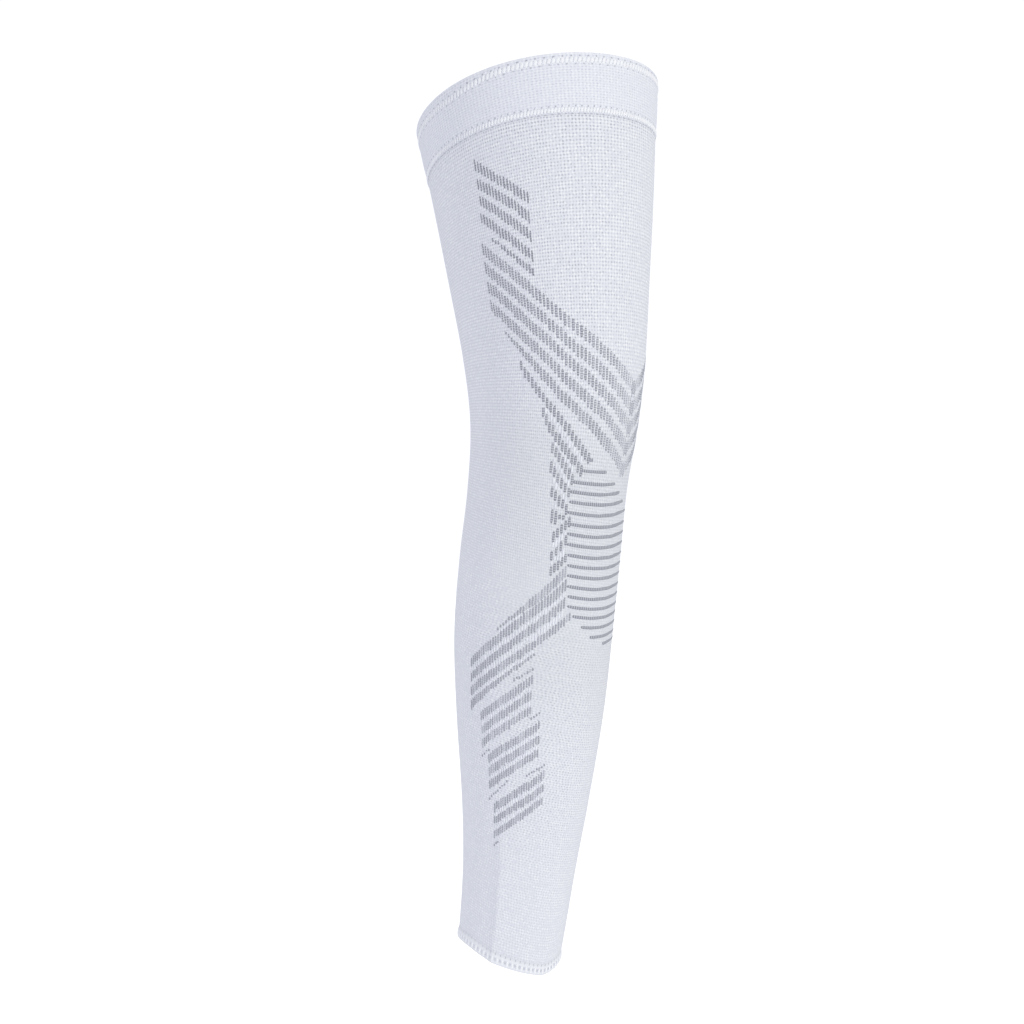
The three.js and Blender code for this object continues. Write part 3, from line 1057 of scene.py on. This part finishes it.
# Steep stripes beside the knee: height, then wale and middle course from the outer end inwards
KNEE_DIAGONALS = [
    (2.9, [(46.2, 190.6), (42.8, 186.2), (38, 181), (31.5, 175.2), (26.2, 170.8), (21.5, 167.2)]),
    (2.9, [(39.2, 178.2), (36.8, 174.6), (31.8, 170), (26.5, 166), (23.8, 164)]),
    (2.9, [(35.2, 168.8), (30.2, 164.4), (26.8, 161.2)]),
    (2.9, [(35, 164), (32, 161), (27.6, 157.4)]),
    (2.9, [(33.8, 157), (28, 153)]),
    (3.9, [(33, 150.3), (31.6, 150.3)]),
    (1.3, [(30.2, 150.5), (28.8, 150.5)]),
    (2.9, [(31.8, 144.8), (26.4, 149.6)]),
    (2.9, [(32, 139), (27.2, 144.2)]),
    (2.9, [(31.8, 134.5), (26.8, 138.8)]),
]

# Bars across the kneecap: outer wale and its course
KNEE_BARS = [
    (22.2, 166.8), (23.8, 163.8), (26.5, 160.5), (27.2, 157.8), (27.2, 155),
    (27.5, 152), (27.2, 148.8), (27, 146), (26.8, 143), (26.2, 140),
    (26, 137), (25.8, 134), (25.5, 130.8), (25, 127.8), (24.8, 124.8),
    (22.5, 122), (18.5, 119), (13.8, 116), (5.5, 113.5),
]
# The highest bars stop short of the front: wale where each one ends
BAR_ENDS = [19.5, 12.5, 6.5, 2.2, -2.5]
BAR_FAR_START = -13.5
# How far a bar rises over its outer end, and its thickness in courses, by wale
BAR_RISE = [
    (-22, 0.1), (-18, 1.1), (-14, 2.1), (-10, 2.45), (-6, 2.42),
    (0, 1.95), (6, 1.15), (14, 0.45), (20, 0.24), (27, 0.18),
]
BAR_THICKNESS = [(-20, 0.9), (-10, 0.6), (2, 1.0)]
BAR_STEPS = 97
BAR_HALF_HEIGHT = 0.25
BAR_TONE = 0.1
BAR_END_CUT = 0.9
BAR_END_SHARPNESS = 30

# Stripes under the knee and down the calf, in the columns of the thigh stripes, the first one with bends
SHIN_STRIPES = [
    (49.5, 113.3, 0.9, 44, 118.9, 1.3, 40, 123, 2.4, 36, 127, 3.2, 26.4, 136.8, 3.6),
    (61.3, 100.3, 2.8, 26, 132.8, 3.6),
    (61.5, 95.3, 2.8, 26, 127.3, 3.2),
    (61.8, 90.6, 3, 23.5, 123.1, 2.6),
    (62, 86.1, 3.3, 35.8, 108.4, 0.9),
]
CALF_STRIPES = [
    (42.8, 98.4, 0.8, 36, 103.9, 1),
    (56.8, 83.6, 2.8, 36.2, 101.1, 3),
    (56.5, 79.1, 2.8, 36.5, 96.1, 3),
    (56.6, 74.6, 3.1, 36.5, 91.1, 2.7),
    (57, 69.2, 0.8, 53.5, 72.2, 0.8),
    (36, 87.2, 0.8, 33, 89.9, 0.8),
    (53.6, 70.3, 3, 33, 86.6, 2.8),
    (53.5, 65.9, 3.1, 32.8, 81.9, 2.8),
    (53.6, 60.9, 3, 33, 77.3, 2.6),
    (53.8, 54.9, 0.8, 45.5, 63.2, 0.8),
    (37, 67.4, 0.8, 29.8, 72.6, 0.8),
    (51.2, 53.6, 3.1, 29.8, 70.3, 3.1),
    (51.2, 48.6, 2.8, 29.8, 65.3, 3),
    (51, 43.6, 2.8, 29.8, 60.9, 3),
    (50.8, 38.6, 0.8, 49, 40.6, 0.8),
]
# Dashes of each group of stripes, by wale: pitch in wales, half width in millimetres, lightness
THIGH_DASH = [(0, 0.85, 0.60, 0.0)]
CHEVRON_DASH = [
    (2.5, 1.25, 0.62, 0.48),
    (12, 1.32, 0.84, 0.26),
    (20, 1.35, 0.90, 0.14),
    (32, 1.25, 0.87, 0.11),
    (42, 0.90, 0.66, 0.04),
    (55, 0.85, 0.60, 0.0),
]
DIAGONAL_DASH = [(28, 1.40, 0.92, 0.0), (46, 1.10, 0.82, 0.0)]
SHIN_DASH = [(24, 1.0, 0.65, 0.0), (60, 1.0, 0.69, 0.05)]
CALF_DASH = [(0, 1.0, 0.60, 0.08)]
DASH_UNEVENNESS = 0.06
CALF_UNEVENNESS = 0.2

# White floats in the gaps: pitch, half width, share of the gap; and the calf stripes that they lie under
FLOAT_DASH = (1.0, 0.8, 0.75)
CALF_FLOATS_UNDER = (1, 2, 6, 7, 11, 12)
FLOAT_LIFT = 0.1
FLOAT_HALF_HEIGHT = 0.35


def straight_stripes(table):
    return [Stripe(row[0::3], row[1::3], row[2::3]) for row in table]


def chevron_stripes():
    wales, tops = (np.array(values) for values in zip(*CHEVRON))
    stripes = [Stripe(wales, tops - drop, CHEVRON_HEIGHT) for drop in CHEVRON_DROPS]
    start = stripes[0].top(LAST_CHEVRON_START)
    last_wales = np.concatenate([[LAST_CHEVRON_START], wales[2:]])
    last_tops = np.concatenate([[start], tops[2:]]) - LAST_CHEVRON_DROP
    last_heights = np.full(len(last_wales), CHEVRON_HEIGHT)
    last_heights[0] = TIP_HEIGHT
    return stripes + [Stripe(last_wales, last_tops, last_heights)]


def diagonal_stripes():
    stripes = []
    for height, path in KNEE_DIAGONALS:
        wales, middles = (np.array(values) for values in zip(*path))
        stripes.append(Stripe(wales, middles + height / 2, height))
    return stripes


# Ends of the strands that make up the kneecap's bars: first wale, last wale, course of the outer end
def bar_strands():
    strands = []
    for number, (outer, course) in enumerate(KNEE_BARS):
        far_end = 2 * FRONT_WALE - outer
        if number < len(BAR_ENDS):
            far_start = min(BAR_FAR_START, 2 * FRONT_WALE - BAR_ENDS[number])
            strands.append((outer, BAR_ENDS[number], course))
            strands.append((far_start, far_end, course))
        else:
            strands.append((outer, min(far_end, BAR_FAR_START), course))
    return np.array(strands)


def make_bars():
    first, last, outer_course = (column[:, None] for column in bar_strands().T)
    t = np.linspace(0, 1, BAR_STEPS)
    wale = first + (last - first) * t
    course = outer_course + np.interp(wale, *zip(*BAR_RISE))
    course_height = FIRST_COURSE + COURSE_GROWTH * course
    ends = rounded_ends(t, BAR_END_CUT, BAR_END_SHARPNESS)
    wide = np.interp(wale, *zip(*BAR_THICKNESS)) * course_height / 2 * ends
    shape = Shape()
    tall = BAR_HALF_HEIGHT * ends
    lay_strands(shape, wale_angle(wale), course_row(course), DASH_LIFT, wide, tall, BAR_TONE, DASH_SIDES)
    return shape.make("knee_bars", BAR_LOOK, "knit_white")


def make_stripes():
    chevrons = chevron_stripes()
    diagonals = diagonal_stripes()
    shin_stripes = straight_stripes(SHIN_STRIPES)
    calf_stripes = straight_stripes(CALF_STRIPES)
    thigh, chevron, knee, calf, floats = (Dashes() for _ in range(5))
    for stripe in straight_stripes(THIGH_STRIPES):
        thigh.stripe(stripe, THIGH_DASH, DASH_UNEVENNESS)
    for stripe in chevrons:
        chevron.stripe(stripe, CHEVRON_DASH, DASH_UNEVENNESS)
        tip = stripe.top(FRONT_WALE) - TIP_DROP
        chevron.add(FRONT_WALE, tip, tip - TIP_HEIGHT, *CHEVRON_DASH[0][2:])
    for stripe in diagonals:
        knee.stripe(stripe, DIAGONAL_DASH, DASH_UNEVENNESS)
    for stripe in shin_stripes:
        calf.stripe(stripe, SHIN_DASH, CALF_UNEVENNESS)
    for stripe in calf_stripes:
        calf.stripe(stripe, CALF_DASH, CALF_UNEVENNESS)
    gaps = [*zip(diagonals, diagonals[1:]), *zip(shin_stripes, shin_stripes[1:])]
    gaps += [calf_stripes[number : number + 2] for number in CALF_FLOATS_UNDER]
    for upper, lower in gaps:
        floats.between(upper, lower, *FLOAT_DASH)
    return [
        thigh.make("thigh_stripes", THIGH_LOOK),
        chevron.make("chevron_stripes", DASH_LOOK),
        knee.make("knee_stripes", DASH_LOOK),
        make_bars(),
        calf.make("calf_stripes", FILL_LOOK),
        floats.make("stripe_floats", FLOAT_LOOK, FLOAT_LIFT, FLOAT_HALF_HEIGHT),
    ]


body = make_body()
band = make_band()
hem = make_hem()
rim_seam, band_seam = [seam_stitches(*seam) for seam in SEAMS]
hem_seam = hem_bars()
stripes = make_stripes()


# A pale floor well under the ankle, and soft studio light
FLOOR_HEIGHT = -0.42
FLOOR_HALF = 6.0
AMBIENT = 0.67
SEEN_SKY = 1.05
SKY = (0.98, 0.99, 1.035, 1)
WARM = (1.0, 0.98, 0.86)
PLAIN = (1.0, 1.0, 1.0)
LIGHTS = [
    # name, degrees round from the kneecap towards -X, elevation, distance, size, watts, colour
    ("key", 16, 12, 2.2, 1.0, 14.4, WARM),
    ("side_fill", 100, -8, 2.4, 1.4, 11.5, PLAIN),
    ("back_fill", 190, -8, 2.4, 1.4, 5.0, PLAIN),
    ("table_glow", 0, -90, 0.415, 1.2, 0.4, PLAIN),
]


def make_floor():
    mesh = bpy.data.meshes.new("floor")
    half = FLOOR_HALF
    corners = [(-half, -half), (half, -half), (half, half), (-half, half)]
    mesh.from_pydata([(x, y, FLOOR_HEIGHT) for x, y in corners], [], [(0, 1, 2, 3)])
    floor = add_object("floor", mesh)
    look = Look("floor_white", roughness=0.9, sheen=0.0)
    look.set("Base Color", (0.8, 0.8, 0.8, 1))
    look.set("Emission Color", (1, 1, 1, 1))
    look.set("Emission Strength", 0.65)
    mesh.materials.append(look.material)
    floor.visible_diffuse = False
    floor.visible_glossy = False


def make_world():
    world = bpy.data.worlds.new("studio")
    bpy.context.scene.world = world
    world.use_nodes = True
    tree = world.node_tree
    background = tree.nodes["Background"]
    background.inputs["Color"].default_value = SKY
    path = tree.nodes.new("ShaderNodeLightPath")
    level = tree.nodes.new("ShaderNodeMapRange")
    level.inputs["To Min"].default_value = AMBIENT
    level.inputs["To Max"].default_value = SEEN_SKY
    tree.links.new(path.outputs["Is Camera Ray"], level.inputs["Value"])
    tree.links.new(level.outputs[0], background.inputs["Strength"])


def soft_light(name, angle, elevation, distance, size, power, colour):
    data = bpy.data.lights.new(name, "AREA")
    data.shape = "DISK"
    data.size = size
    data.energy = power
    data.color = colour
    light = add_object(name, data)
    turn = math.radians(angle)
    rise = math.radians(elevation)
    towards = Vector((-math.sin(turn) * math.cos(rise), -math.cos(turn) * math.cos(rise), math.sin(rise)))
    light.location = towards * distance
    light.rotation_euler = towards.to_track_quat("Z", "Y").to_euler()
    light.visible_camera = False


# The camera at the photograph's angle, level with the knee
CAMERA_TURN = math.radians(-64)
CAMERA_AWAY = 1.109
CAMERA_HEIGHT = 0.0335
LEG_MIDDLE_Y = 0.025


def make_camera():
    data = bpy.data.cameras.new("camera")
    data.lens = 50
    data.sensor_width = 36
    camera = add_object("camera", data)
    away = Vector((math.sin(CAMERA_TURN), -math.cos(CAMERA_TURN), 0))
    camera.location = away * CAMERA_AWAY + Vector((0, LEG_MIDDLE_Y, CAMERA_HEIGHT))
    camera.rotation_euler = away.to_track_quat("Z", "Y").to_euler()
    bpy.context.scene.camera = camera


make_floor()
make_world()
for light in LIGHTS:
    soft_light(*light)
make_camera()
bpy.context.scene.view_settings.view_transform = "Standard"
